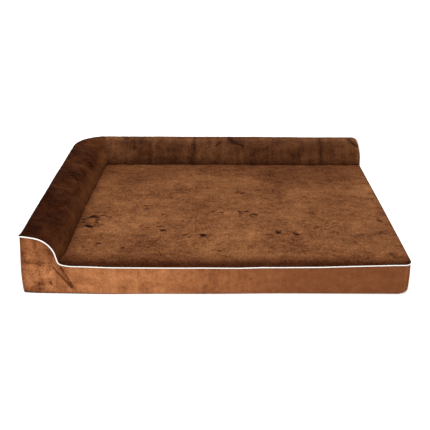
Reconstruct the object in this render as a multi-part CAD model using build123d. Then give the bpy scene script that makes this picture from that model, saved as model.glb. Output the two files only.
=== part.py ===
from build123d import *
import math
import os

# Pet cushion bed: a flat foam mattress with an L-shaped bolster along its back and left side,
# in a piped, zipped plush cover. Millimetres, +Z up, +X to the right as seen from the front,
# front face towards -Y, origin at the middle of the underside.

# Overall plan of the cover, measured on its outer wall
HALF_X = 553.0
HALF_Y = 443.0
FRONT_LEFT_R = 13.0
FRONT_RIGHT_R = 21.0
BACK_RIGHT_R = 26.0
BACK_LEFT_R = 108.0

# Heights
CLOTH = 2.5
SEAM_Z = 90.0
SLEEP_Z = 103.0
PIPE_BACK_Z = 177.0
CREST_Z = 184.0
SLEEP_EDGE_R = 12.0

# Bolster section: u runs inward from the outer wall
CREST_R = 7.0
SHOULDER_U = 88.0
SHOULDER_Z = 167.5
SHOULDER_R = 70.0
FOOT_U = 105.0
FOOT_Z = 95.0
FOOT_R = 5.0
BOLSTER_BASE_Z = 60.0
S_FOOT_U = 104.0
S_FOOT_R = 15.0
END_TUCK = 7.0
END_CORNER_TUCK = 6.0
SLEEP_EDGE_U = 103.9

# Fillings
FOAM_GAP = 3.1
BACK_FOAM_GAP = 6.3
LINER = 0.35
FOAM_BOTTOM_Z = 3.1
TOPPER_BOTTOM_Z = 68.0
TOPPER_TOP_Z = 99.6
TOPPER_R = 9.0
FOAM_BOTTOM_R = 14.0
FOAM_FRONT_LEFT_R = 21.0
LINING_Z = 100.1
LINING_T = 1.0
BOLSTER_FOAM_Z = 101.3
BOLSTER_GAP = 0.4

# Piping
PIPE_R = 2.2
PIPE_CORD_R = 1.2
PIPE_BORE_R = 1.25
PIPE_JOIN_X = 60.0
PIPE_JOIN_GAP = 0.5
PIPE_RISE = 34.0
PIPE_CORNER_Z = 183.4

# Zipper, along the back wall; it is closed when its slider is at the right end
ZIP_Z = 32.0
ZIP_X0 = -432.0
ZIP_X1 = 512.0
ZIP_OPENING_Z = 7.5
TAPE_REACH = 16.0
TAPE_Y = 439.7
TAPE_T = 0.7
TAPE_GAP = 0.7
COIL_DEEP = 2.2
COIL_NEAR = 0.5
COIL_FAR = 3.1
STOP_LENGTH = 4.0
SLIDER_REST_X = 500.0
SLIDER_HALF_X = 5.5
SLIDER_HALF_Z = 4.4
SLIDER_IN_Y = 438.0
SLIDER_PLATE = 1.4
SLIDER_OUT_Y = 442.9
SLIDER_OUT_PLATE = 1.2
FLANGE_Y = 440.7
FLANGE_T = 1.0
WEB_Z = 0.3
BRIDGE_HALF_X = 4.5
BRIDGE_LEG = 1.0
BRIDGE_HALF_Z = 1.0
BRIDGE_RISE = 3.2
PULL_Y = 445.2
PULL_T = 1.2
PULL_EYE = 8.0
PULL_LENGTH = 28.0
PULL_HALF_Z = 3.5
PULL_RIM = 1.0

# Care label, blank, stitched flat to the back
LABEL_X = -300.0
LABEL_W = 34.0
LABEL_H = 52.0
LABEL_TOP_Z = 170.0
LABEL_T = 0.6

PLAN_RADII = [FRONT_LEFT_R, FRONT_RIGHT_R, BACK_RIGHT_R, BACK_LEFT_R]
FOAM_RADII = [FOAM_FRONT_LEFT_R, FRONT_RIGHT_R, BACK_RIGHT_R, BACK_LEFT_R]
FAR = 700.0


def block(x0, x1, y0, y1, z0, z1):
    centre = Pos((x0 + x1) / 2, (y0 + y1) / 2, (z0 + z1) / 2)
    return centre * Box(x1 - x0, y1 - y0, z1 - z0)


def slab(inset, z0, z1, back_inset=None, top_round=0.0, plan_radii=PLAN_RADII, bottom_round=0.0):
    """The bed's rounded plan, drawn in from its wall, as a plate from z0 to z1."""
    back = HALF_Y - (inset if back_inset is None else back_inset)
    x = HALF_X - inset
    y = HALF_Y - inset
    radii = [radius - inset for radius in plan_radii]
    corners = [(-x, -y), (x, -y), (x, back), (-x, back)]
    face = make_face(FilletPolyline(*corners, radius=radii, close=True))
    plate = extrude(Pos(0, 0, z0) * face, z1 - z0)
    if top_round > 0:
        plate = fillet(plate.edges().group_by(Axis.Z)[-1], top_round)
    if bottom_round > 0:
        plate = fillet(plate.edges().group_by(Axis.Z)[0], bottom_round)
    return plate


def bolster_section(inset):
    """Closed bolster section in u and z, from below the mattress top to the crest."""
    line = FilletPolyline(
        (0, BOLSTER_BASE_Z),
        (0, CREST_Z),
        (SHOULDER_U, SHOULDER_Z),
        (FOOT_U, FOOT_Z),
        (FOOT_U, BOLSTER_BASE_Z),
        radius=[CREST_R, SHOULDER_R, FOOT_R],
    )
    face = make_face(Curve() + [line, Line((FOOT_U, BOLSTER_BASE_Z), (0, BOLSTER_BASE_Z))])
    if inset > 0:
        face = offset(face, amount=-inset, kind=Kind.INTERSECTION)
    return face


def side_bolster(inset):
    """Left run and its quarter turn round the back-left corner."""
    section = bolster_section(inset)
    turn_y = HALF_Y - BACK_LEFT_R
    drawn = Plane(origin=(-HALF_X, turn_y, 0), x_dir=(1, 0, 0), z_dir=(0, -1, 0))
    run = extrude(drawn * section, turn_y + HALF_Y - inset)
    axis = Axis((-HALF_X + BACK_LEFT_R, turn_y, 0), (0, 0, -1))
    turn = revolve(drawn * section, axis, 90)
    return run + turn


def back_bolster(inset):
    """Straight run along the back, up to the right-hand wall."""
    start_x = -HALF_X + BACK_LEFT_R
    drawn = Plane(origin=(start_x, HALF_Y, 0), x_dir=(0, -1, 0), z_dir=(-1, 0, 0))
    return extrude(drawn * bolster_section(inset), start_x - HALF_X + inset)


def end_profile(tuck, corner_tuck):
    """The area below a border's S-shaped top edge, which may lie a little inside the bolster."""
    reach = 2 * FAR
    line = FilletPolyline(
        (0, CREST_Z - tuck),
        (SHOULDER_U - corner_tuck, SHOULDER_Z - corner_tuck),
        (S_FOOT_U - tuck, SEAM_Z),
        (reach, SEAM_Z),
        radius=[SHOULDER_R - tuck, S_FOOT_R],
    )
    close = Polyline((reach, SEAM_Z), (reach, 0), (0, 0), (0, CREST_Z - tuck))
    return make_face(Curve() + [line, close])


def wall_ring(z0, z1):
    return slab(0, z0, z1) - slab(CLOTH, z0, z1)


def sector(points, z0, z1):
    return extrude(Pos(0, 0, z0) * make_face(Polyline(*points, close=True)), z1 - z0)


def front_sector():
    points = [
        (-FAR, -HALF_Y - FAR + HALF_X),
        (FAR, -HALF_Y - FAR + HALF_X),
        (0, -HALF_Y + HALF_X),
    ]
    return sector(points, 0, CREST_Z)


def make_front_border():
    drawn = Plane(origin=(-HALF_X, HALF_Y, 0), x_dir=(1, 0, 0), z_dir=(0, -1, 0))
    below_edge = extrude(drawn * end_profile(0, 0), 2 * HALF_Y)
    return wall_ring(CLOTH, CREST_Z) & front_sector() & below_edge


def make_right_border():
    drawn = Plane(origin=(0, HALF_Y, 0), x_dir=(0, -1, 0), z_dir=(-1, 0, 0))
    below_edge = extrude(drawn * end_profile(END_TUCK, END_CORNER_TUCK), -HALF_X)
    back_start_x = HALF_X - BACK_RIGHT_R
    part_of_wall = block(back_start_x, HALF_X, -HALF_Y, HALF_Y, CLOTH, CREST_Z)
    return (wall_ring(CLOTH, CREST_Z) & part_of_wall & below_edge) - front_sector()


def make_left_border():
    turn_x = -HALF_X + BACK_LEFT_R
    part_of_wall = block(-HALF_X, turn_x, -HALF_Y, HALF_Y, CLOTH, PIPE_BACK_Z)
    return (wall_ring(CLOTH, PIPE_BACK_Z) & part_of_wall) - front_sector()


def make_back_border():
    """The back wall in two strips, with the zipper's opening between them."""
    x0 = -HALF_X + BACK_LEFT_R
    x1 = HALF_X - BACK_RIGHT_R
    wall = block(x0, x1, HALF_Y - CLOTH, HALF_Y, CLOTH, PIPE_BACK_Z)
    wall -= block(
        ZIP_X0, ZIP_X1, HALF_Y - CLOTH, HALF_Y, ZIP_Z - ZIP_OPENING_Z, ZIP_Z + ZIP_OPENING_Z
    )
    upper = wall & block(x0, x1, 0, HALF_Y, ZIP_Z, CREST_Z)
    lower = wall & block(x0, x1, 0, HALF_Y, 0, ZIP_Z)
    return upper, lower


def make_skin():
    """Everything of the cover above the borders, as one shell, before it is parted."""
    outer = slab(0, SEAM_Z - CLOTH, SLEEP_Z, top_round=SLEEP_EDGE_R)
    outer_bolster = (side_bolster(0) + back_bolster(0)) & slab(0, BOLSTER_BASE_Z, CREST_Z)
    inner = slab(CLOTH, BOLSTER_BASE_Z, SLEEP_Z - CLOTH, top_round=SLEEP_EDGE_R - CLOTH)
    inner_bolster = side_bolster(CLOTH) + back_bolster(CLOTH)
    inner_bolster &= slab(CLOTH, BOLSTER_BASE_Z, CREST_Z)
    return outer, outer_bolster, inner, inner_bolster


def make_sleep_panel(skin, borders):
    outer, _, inner, _ = skin
    corner = SLEEP_EDGE_U
    keep = make_face(
        FilletPolyline(
            (-HALF_X + corner, -FAR),
            (FAR, -FAR),
            (FAR, HALF_Y - corner),
            (-HALF_X + corner, HALF_Y - corner),
            radius=[0.001, 0.001, 0.001, BACK_LEFT_R - corner],
            close=True,
        )
    )
    area = extrude(Pos(0, 0, SEAM_Z) * keep, CREST_Z - SEAM_Z)
    panel = (outer - inner) & area
    for border in borders:
        panel -= border
    return panel


def make_bolster_covers(skin, borders):
    _, outer, _, inner = skin
    band = (outer - inner) & block(-FAR, FAR, -FAR, FAR, BOLSTER_FOAM_Z, CREST_Z)
    for border in borders:
        band -= border
    split_x = -HALF_X + BACK_LEFT_R
    side = band & block(-FAR, split_x, -FAR, FAR, 0, CREST_Z)
    back = band & block(split_x, FAR, -FAR, FAR, 0, CREST_Z)
    return side, back


def make_bolster_foams():
    inset = CLOTH + BOLSTER_GAP
    room = slab(inset, BOLSTER_FOAM_Z + BOLSTER_GAP, CREST_Z)
    return side_bolster(inset) & room, back_bolster(inset) & room


def make_pocket_lining():
    under = slab(FOAM_GAP, LINING_Z, LINING_Z + LINING_T)
    edge = SLEEP_EDGE_U
    return under - block(-HALF_X + edge, FAR, -FAR, HALF_Y - edge, 0, CREST_Z)


def make_liner():
    outer = slab(
        FOAM_GAP - LINER,
        FOAM_BOTTOM_Z - LINER,
        TOPPER_TOP_Z + LINER,
        BACK_FOAM_GAP - LINER,
        TOPPER_R + LINER,
        FOAM_RADII,
        FOAM_BOTTOM_R + LINER,
    )
    inner = slab(
        FOAM_GAP,
        FOAM_BOTTOM_Z,
        TOPPER_TOP_Z,
        BACK_FOAM_GAP,
        TOPPER_R,
        FOAM_RADII,
        FOAM_BOTTOM_R,
    )
    return outer - inner


def pipe_path():
    """Centre line of the piping: once round the cover's top seam, open at the back."""
    x = HALF_X
    y = HALF_Y
    points = [
        (PIPE_JOIN_X - PIPE_JOIN_GAP, y, PIPE_BACK_Z),
        (-x, y, PIPE_BACK_Z),
        (-x, -y + PIPE_RISE + FRONT_LEFT_R, PIPE_BACK_Z),
        (-x, -y, PIPE_CORNER_Z),
        (-x + SHOULDER_U, -y, SHOULDER_Z),
        (-x + S_FOOT_U, -y, SEAM_Z),
        (x, -y, SEAM_Z),
        (x, y - S_FOOT_U + END_TUCK, SEAM_Z),
        (x, y - SHOULDER_U + END_CORNER_TUCK, SHOULDER_Z - END_CORNER_TUCK),
        (x, y, PIPE_BACK_Z),
        (PIPE_JOIN_X + PIPE_JOIN_GAP, y, PIPE_BACK_Z),
    ]
    radii = [
        BACK_LEFT_R,
        2 * PIPE_RISE,
        FRONT_LEFT_R,
        SHOULDER_R,
        S_FOOT_R,
        FRONT_RIGHT_R,
        S_FOOT_R,
        SHOULDER_R - END_TUCK,
        BACK_RIGHT_R,
    ]
    return FilletPolyline(*points, radius=radii)


def pipe_section(radius):
    start = Plane(origin=pipe_path() @ 0, z_dir=pipe_path() % 0)
    return start * Circle(radius)


def make_piping():
    path = pipe_path()
    rod = sweep(pipe_section(PIPE_R), path=path)
    bore = sweep(pipe_section(PIPE_BORE_R), path=path)
    cord = sweep(pipe_section(PIPE_CORD_R), path=path)
    return rod, rod - bore, cord


def make_tape(side):
    near = ZIP_Z + side * TAPE_GAP
    far = ZIP_Z + side * TAPE_REACH
    return block(
        ZIP_X0 - STOP_LENGTH,
        ZIP_X1 + STOP_LENGTH,
        TAPE_Y,
        TAPE_Y + TAPE_T,
        min(near, far),
        max(near, far),
    )


def make_coil(side):
    near = ZIP_Z + side * COIL_NEAR
    far = ZIP_Z + side * COIL_FAR
    y0 = TAPE_Y + TAPE_T
    coil = block(
        ZIP_X0 + STOP_LENGTH,
        ZIP_X1 - STOP_LENGTH,
        y0,
        y0 + COIL_DEEP,
        min(near, far),
        max(near, far),
    )
    return fillet(coil.edges().filter_by(Axis.X).group_by(Axis.Y)[-1], COIL_DEEP / 4)


def make_stops():
    """Two stops beside each other where the zipper closes, one across both rows at its start."""
    y0 = TAPE_Y + TAPE_T
    y1 = y0 + COIL_DEEP
    stops = []
    for side in (-1, 1):
        near = ZIP_Z + side * COIL_NEAR
        far = ZIP_Z + side * COIL_FAR
        z0, z1 = min(near, far), max(near, far)
        stops.append(block(ZIP_X1 - STOP_LENGTH, ZIP_X1, y0, y1, z0, z1))
    stops.append(
        block(ZIP_X0, ZIP_X0 + STOP_LENGTH, y0, y1, ZIP_Z - COIL_FAR, ZIP_Z + COIL_FAR)
    )
    return Compound(children=stops)


def make_slider():
    """Two plates joined by a thin web between the rows, side flanges, and a bridge."""
    x = SLIDER_REST_X
    half = SLIDER_HALF_X
    z0 = ZIP_Z - SLIDER_HALF_Z
    z1 = ZIP_Z + SLIDER_HALF_Z
    top_y = SLIDER_OUT_Y + SLIDER_OUT_PLATE
    plates = block(x - half, x + half, SLIDER_IN_Y, SLIDER_IN_Y + SLIDER_PLATE, z0, z1)
    plates += block(x - half, x + half, SLIDER_OUT_Y, top_y, z0, z1)
    plates = fillet(plates.edges().filter_by(Axis.Y), PULL_RIM)
    body = plates + block(
        x - half / 2, x + half, SLIDER_IN_Y + SLIDER_PLATE, SLIDER_OUT_Y, ZIP_Z - WEB_Z, ZIP_Z + WEB_Z
    )
    for edge_z in (z0, z1 - FLANGE_T):
        body += block(
            x - half + PULL_RIM,
            x + half - PULL_RIM,
            FLANGE_Y,
            SLIDER_OUT_Y,
            edge_z,
            edge_z + FLANGE_T,
        )
    bridge_z0 = ZIP_Z - BRIDGE_HALF_Z
    bridge_z1 = ZIP_Z + BRIDGE_HALF_Z
    bridge_y = top_y + BRIDGE_RISE
    bridge = block(
        x - BRIDGE_HALF_X, x + BRIDGE_HALF_X, top_y, bridge_y, bridge_z0, bridge_z1
    )
    bridge = fillet(bridge.edges().filter_by(Axis.Z).group_by(Axis.Y)[-1], PULL_RIM)
    window = BRIDGE_HALF_X - BRIDGE_LEG
    bridge -= block(x - window, x + window, top_y, bridge_y - BRIDGE_LEG, bridge_z0, bridge_z1)
    return body + bridge


def make_pull():
    """Flat tab with an eye, whose round crossbar turns under the slider's bridge."""
    x = SLIDER_REST_X
    crossbar_r = PULL_T / 2
    tab = block(
        x - PULL_LENGTH,
        x,
        PULL_Y - crossbar_r,
        PULL_Y + crossbar_r,
        ZIP_Z - PULL_HALF_Z,
        ZIP_Z + PULL_HALF_Z,
    )
    tab = fillet(tab.edges().filter_by(Axis.Y).group_by(Axis.X)[0], PULL_HALF_Z - PULL_RIM)
    eye_half = PULL_HALF_Z - PULL_RIM
    tab -= block(x - PULL_EYE, x, PULL_Y - 1, PULL_Y + 1, ZIP_Z - eye_half, ZIP_Z + eye_half)
    crossbar = Pos(x, PULL_Y, ZIP_Z) * Cylinder(crossbar_r, 2 * PULL_HALF_Z)
    hole = Pos(x - PULL_LENGTH + PULL_HALF_Z, PULL_Y, ZIP_Z)
    hole *= Rot(90, 0, 0) * Cylinder(PULL_RIM, 2 * PULL_T)
    return tab + crossbar - hole


def make_care_label():
    return block(
        LABEL_X,
        LABEL_X + LABEL_W,
        HALF_Y,
        HALF_Y + LABEL_T,
        LABEL_TOP_Z - LABEL_H,
        LABEL_TOP_Z,
    )


def make_all():
    nodes = {}
    rod, sleeve, cord = make_piping()
    front = make_front_border()
    right = make_right_border()
    left = make_left_border()
    back_upper, back_lower = make_back_border()
    skin = make_skin()
    walls = [front, right, left, back_upper]
    side_cover, back_cover = make_bolster_covers(skin, walls)
    nodes["bottom_panel"] = slab(0, 0, CLOTH)
    nodes["front_border"] = front - rod
    nodes["right_border"] = right - rod
    nodes["left_border"] = left - rod
    nodes["back_border_upper"] = back_upper - rod
    nodes["back_border_lower"] = back_lower
    nodes["sleep_panel"] = make_sleep_panel(skin, [front, right]) - rod
    nodes["side_bolster_cover"] = side_cover - rod
    nodes["back_bolster_cover"] = back_cover - rod
    nodes["piping_sleeve"] = sleeve
    nodes["piping_cord"] = cord
    nodes["support_foam"] = slab(
        FOAM_GAP, FOAM_BOTTOM_Z, TOPPER_BOTTOM_Z, BACK_FOAM_GAP, 0, FOAM_RADII, FOAM_BOTTOM_R
    )
    nodes["memory_foam_topper"] = slab(
        FOAM_GAP, TOPPER_BOTTOM_Z, TOPPER_TOP_Z, BACK_FOAM_GAP, TOPPER_R, FOAM_RADII
    )
    nodes["mattress_liner"] = make_liner()
    side_foam, back_foam = make_bolster_foams()
    nodes["side_bolster_foam"] = side_foam
    nodes["back_bolster_foam"] = back_foam
    nodes["bolster_pocket_lining"] = make_pocket_lining()
    nodes["zipper_tape_upper"] = make_tape(1)
    nodes["zipper_tape_lower"] = make_tape(-1)
    nodes["zipper_coil_upper"] = make_coil(1)
    nodes["zipper_coil_lower"] = make_coil(-1)
    nodes["zipper_stops"] = make_stops()
    nodes["zipper_slider"] = make_slider()
    nodes["zipper_pull"] = make_pull()
    nodes["care_label"] = make_care_label()
    return nodes


os.makedirs("parts", exist_ok=True)
all_nodes = make_all()
for name, shape in all_nodes.items():
    export_step(shape, "parts/" + name + ".step")
path_length = pipe_path().length
sleeve_area = math.pi * (PIPE_R**2 - PIPE_BORE_R**2)
print("piping length", round(path_length, 1), "mm")
print("sleeve volume over section times length")
print(round(all_nodes["piping_sleeve"].volume / (sleeve_area * path_length), 5))
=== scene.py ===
import math
import bpy
import numpy as np
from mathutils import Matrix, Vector, noise


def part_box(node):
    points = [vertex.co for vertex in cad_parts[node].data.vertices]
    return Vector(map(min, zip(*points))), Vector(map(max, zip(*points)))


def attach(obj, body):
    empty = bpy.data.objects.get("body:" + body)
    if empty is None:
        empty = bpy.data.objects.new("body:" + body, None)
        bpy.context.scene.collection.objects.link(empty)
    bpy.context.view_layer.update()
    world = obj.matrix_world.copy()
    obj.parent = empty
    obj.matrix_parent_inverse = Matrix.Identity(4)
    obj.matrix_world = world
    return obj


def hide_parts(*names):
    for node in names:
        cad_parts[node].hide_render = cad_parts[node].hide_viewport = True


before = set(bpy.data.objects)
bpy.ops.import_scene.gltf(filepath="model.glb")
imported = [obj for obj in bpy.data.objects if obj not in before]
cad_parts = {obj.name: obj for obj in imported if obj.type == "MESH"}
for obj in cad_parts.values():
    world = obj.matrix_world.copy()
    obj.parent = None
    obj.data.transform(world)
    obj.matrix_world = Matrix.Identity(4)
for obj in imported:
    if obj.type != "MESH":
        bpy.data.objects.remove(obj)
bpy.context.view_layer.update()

# ---------------------------------------------------------------- sizes read from the frame
PANEL_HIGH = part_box("bottom_panel")[1]
HALF_X = PANEL_HIGH.x
HALF_Y = PANEL_HIGH.y
CREST_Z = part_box("side_bolster_cover")[1].z
SLEEP_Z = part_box("sleep_panel")[1].z
SEAM_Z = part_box("sleep_panel")[0].z
PIPE_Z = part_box("left_border")[1].z

# ---------------------------------------------------------------- sizes of the design, in metres
CORNER_FL = 0.013
CORNER_FR = 0.021
CORNER_BR = 0.026
TURN_R = 0.108
SHOULDER = (0.088, 0.1675)
SHOULDER_R = 0.070
S_FOOT_U = 0.104
S_FOOT_R = 0.015
END_TUCK = 0.007
END_CORNER_TUCK = 0.006
SPLIT_X = -HALF_X + TURN_R
CLOTH = 0.002
STEP = 0.006
ROLL_R = 0.017
CROWN = 0.0035
SLEEP_TUCK = 0.0012


# ---------------------------------------------------------------- curves and grids
def rounded_path(points, radii, step):
    """Points about step apart along straight runs whose corners are rounded by arcs."""
    corners = [np.array(p, float) for p in points]
    out = [corners[0]]
    for before, here, after, radius in zip(corners, corners[1:], corners[2:], radii):
        d0 = (here - before) / np.linalg.norm(here - before)
        d1 = (after - here) / np.linalg.norm(after - here)
        turn = math.atan2(d0[0] * d1[1] - d0[1] * d1[0], float(d0 @ d1))
        reach = radius * math.tan(abs(turn) / 2)
        side = math.copysign(1.0, turn)
        centre = here - d0 * reach + side * radius * np.array([-d0[1], d0[0]])
        arm = here - d0 * reach - centre
        parts = max(2, math.ceil(abs(turn) * radius / step))
        for i in range(parts + 1):
            a = turn * i / parts
            spin = np.array([[math.cos(a), -math.sin(a)], [math.sin(a), math.cos(a)]])
            out.append(centre + spin @ arm)
    out.append(corners[-1])
    return fill_runs(np.array(out), step)


def fill_runs(line, step):
    """The same line with points added so that none are further apart than step."""
    out = [line[0]]
    for a, b in zip(line[:-1], line[1:]):
        parts = max(1, math.ceil(np.linalg.norm(b - a) / step - 1e-6))
        out.extend(a + (b - a) * (i / parts) for i in range(1, parts + 1))
    return np.array(out)


def evenly(line, step):
    """Points about step apart along a line, in two or three dimensions."""
    along = np.concatenate([[0], np.cumsum(np.linalg.norm(np.diff(line, axis=0), axis=1))])
    at = np.linspace(0, along[-1], max(2, math.ceil(along[-1] / step) + 1))
    return np.stack([np.interp(at, along, line[:, k]) for k in range(line.shape[1])], axis=1)


def smooth(edge0, edge1, x):
    t = np.clip((np.asarray(x, float) - edge0) / (edge1 - edge0), 0, 1)
    return t * t * (3 - 2 * t)


def bump(x, middle, width):
    return np.exp(-(((np.asarray(x, float) - middle) / width) ** 2))


def wander(points, scale, seed):
    """Smooth noise from -1 to 1 at each point."""
    shift = Vector((seed * 7.3, seed * 3.1, seed * 5.7))
    return np.array([noise.noise(Vector(p) * scale + shift) for p in points])


def mesh_object(name, points, faces):
    mesh = bpy.data.meshes.new(name)
    mesh.from_pydata([tuple(p) for p in points], [], faces)
    mesh.update()
    made = bpy.data.objects.new(name, mesh)
    bpy.context.scene.collection.objects.link(made)
    mesh.polygons.foreach_set("use_smooth", [True] * len(mesh.polygons))
    return made


def grid_faces(rows, columns, flip=False, closed=False):
    faces = []
    for r in range(rows - 1):
        for c in range(columns if closed else columns - 1):
            d = (c + 1) % columns
            quad = (r * columns + c, r * columns + d, (r + 1) * columns + d, (r + 1) * columns + c)
            faces.append(quad[::-1] if flip else quad)
    return faces


def ring_faces(rings, sides, start=0, flip=False):
    """Quads between closed rings of points that follow one another from the start index."""
    return [tuple(start + k for k in quad) for quad in grid_faces(rings, sides, flip, True)]


def sheet_from_grid(name, grid, flip=False):
    rows, columns, _ = grid.shape
    return mesh_object(name, grid.reshape(-1, 3), grid_faces(rows, columns, flip))


def points_of(obj):
    out = np.zeros(len(obj.data.vertices) * 3, np.float32)
    obj.data.vertices.foreach_get("co", out)
    return out.reshape(-1, 3).astype(float)


def set_points(obj, points):
    obj.data.vertices.foreach_set("co", points.astype(np.float32).ravel())
    obj.data.update()


def thicken(obj, thickness=CLOTH):
    solid = obj.modifiers.new("cloth", "SOLIDIFY")
    solid.thickness = thickness
    solid.offset = -1
    solid.use_even_offset = False


def subdivide(obj, levels=1):
    finer = obj.modifiers.new("finer", "SUBSURF")
    finer.levels = levels
    finer.render_levels = levels


def tube(name, line, radius, sides=10):
    """A round tube along a line of 3-D points, with closed ends."""
    count = len(line)
    ahead = np.roll(line, -1, axis=0) - np.roll(line, 1, axis=0)
    ahead[0] = line[1] - line[0]
    ahead[-1] = line[-1] - line[-2]
    ahead /= np.linalg.norm(ahead, axis=1)[:, None]
    up = np.array([0.0, 0.0, 1.0])
    points = []
    for p, d in zip(line, ahead):
        if abs(d[2]) > 0.93:
            up = np.array([0.3, 0.3, 0.0]) + up * 0.2
        across = np.cross(d, up)
        across /= np.linalg.norm(across)
        over = np.cross(across, d)
        up = over
        for k in range(sides):
            a = 2 * math.pi * k / sides
            points.append(p + radius * (math.cos(a) * across + math.sin(a) * over))
    faces = grid_faces(count, sides, closed=True)
    faces.append(tuple(range(sides)))
    faces.append(tuple(range((count - 1) * sides, count * sides))[::-1])
    return mesh_object(name, points, faces)


# ---------------------------------------------------------------- the design's lines
def end_edge(tuck, corner_tuck, start_u, stop_u, step=0.004):
    """The S-shaped edge at a bolster's end, as u inward from the wall and height."""
    points = [
        (0.0, CREST_Z - tuck),
        (SHOULDER[0] - corner_tuck, SHOULDER[1] - corner_tuck),
        (S_FOOT_U - tuck, SEAM_Z),
        (stop_u, SEAM_Z),
    ]
    line = rounded_path(points, [SHOULDER_R - tuck, S_FOOT_R], step)
    return line[line[:, 0] >= start_u - 1e-9]


# The seam's lift in millimetres at places along the front, in metres from the left wall.
SEAM_LIFTS = np.array([
    (0.092, 0.0), (0.105, 2.4), (0.116, 1.8), (0.124, -0.2), (0.136, -2.0), (0.20, -2.4),
    (0.24, -3.4), (0.45, -3.7), (0.52, -3.0), (0.62, -4.4), (0.68, -2.9), (0.74, -3.3),
    (0.85, -1.9), (0.93, 1.1), (1.02, 4.0), (1.06, 5.3),
])


def front_seam_lift(x):
    """How far the front seam lies off its drawn height: it wavers and climbs to the right."""
    u = np.asarray(x, float) + HALF_X
    at, lift = SEAM_LIFTS.T
    waver = sum(np.interp(u + d, at, lift) for d in (-0.004, 0.0, 0.004)) / 3000
    return waver + 0.0012 * smooth(0.0, 0.02, u) * smooth(0.108, 0.09, u)


def front_bow(x):
    """How far the filling pushes the front out towards the left of its middle."""
    u = np.asarray(x, float) + HALF_X
    return 0.0044 * smooth(0.10, 0.28, u) * smooth(0.76, 0.50, u)


def seam_columns():
    """The top seam of the wall, once round from the front-left corner: points and normals."""
    points, outward = [], []

    def add(x, y, z, nx, ny):
        points.append((x, y, z))
        outward.append((nx, ny, 0.0))

    def arc(cx, cy, radius, start, height):
        parts = max(4, math.ceil(math.pi / 2 * radius / STEP))
        for i in range(1, parts):
            a = math.radians(start + 90.0 * i / parts)
            x, y = cx + radius * math.cos(a), cy + radius * math.sin(a)
            add(x, y, height(x, y), math.cos(a), math.sin(a))

    front = end_edge(0, 0, CORNER_FL, HALF_X * 2 - CORNER_FR, STEP)
    crest = np.interp(CORNER_FL, [0, SHOULDER[0]], [CREST_Z, SHOULDER[1]])
    front = np.vstack([[CORNER_FL, crest], front[front[:, 0] > CORNER_FL + 0.001]])
    for u, z in fill_runs(front, STEP):
        x = u - HALF_X
        add(x, -HALF_Y, z + float(front_seam_lift(x)), 0, -1)
    corner_z = SEAM_Z + float(front_seam_lift(HALF_X))
    arc(HALF_X - CORNER_FR, -HALF_Y + CORNER_FR, CORNER_FR, -90, lambda x, y: corner_z)
    right = end_edge(END_TUCK, END_CORNER_TUCK, CORNER_BR, HALF_Y * 2 - CORNER_FR, STEP)
    for v, z in fill_runs(right, STEP)[::-1]:
        y = HALF_Y - v
        lift = (corner_z - SEAM_Z) * float(smooth(0.2, 0.5, v))
        add(HALF_X, y, z + lift, 1, 0)
    edge_z = right[0, 1]
    arc(
        HALF_X - CORNER_BR,
        HALF_Y - CORNER_BR,
        CORNER_BR,
        0,
        lambda x, y: PIPE_Z + (edge_z - PIPE_Z) * float(smooth(0, CORNER_BR, HALF_Y - y)),
    )
    back = fill_runs(np.array([[HALF_X - CORNER_BR, PIPE_Z], [SPLIT_X, PIPE_Z]]), STEP)
    for x, z in back:
        add(x, HALF_Y, z, 0, 1)
    arc(SPLIT_X, HALF_Y - TURN_R, TURN_R, 90, lambda x, y: PIPE_Z)
    left = fill_runs(
        np.array([[HALF_Y - TURN_R, PIPE_Z], [-HALF_Y + CORNER_FL, PIPE_Z]]), STEP
    )
    for y, z in left:
        rise = (CREST_Z - PIPE_Z) * float(smooth(0.055, 0.0, y + HALF_Y))
        add(-HALF_X, y, z + rise, -1, 0)
    arc(
        -HALF_X + CORNER_FL,
        -HALF_Y + CORNER_FL,
        CORNER_FL,
        180,
        lambda x, y: CREST_Z - 0.19 * (x + HALF_X),
    )
    return np.array(points), np.array(outward)


SEAM, OUTWARD = seam_columns()
SEAM[:, 1] -= front_bow(SEAM[:, 0]) * smooth(0.9, 1.0, -OUTWARD[:, 1])
ON_FRONT = OUTWARD[:, 1] < -0.999
FRONT_LINE = SEAM[ON_FRONT][np.argsort(SEAM[ON_FRONT][:, 0])]
ON_RIGHT = OUTWARD[:, 0] > 0.999
RIGHT_LINE = SEAM[ON_RIGHT][np.argsort(SEAM[ON_RIGHT][:, 1])]


def front_seam_z(x):
    return np.interp(x, FRONT_LINE[:, 0], FRONT_LINE[:, 2])


def right_seam_z(y):
    return np.interp(y, RIGHT_LINE[:, 1], RIGHT_LINE[:, 2])


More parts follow.
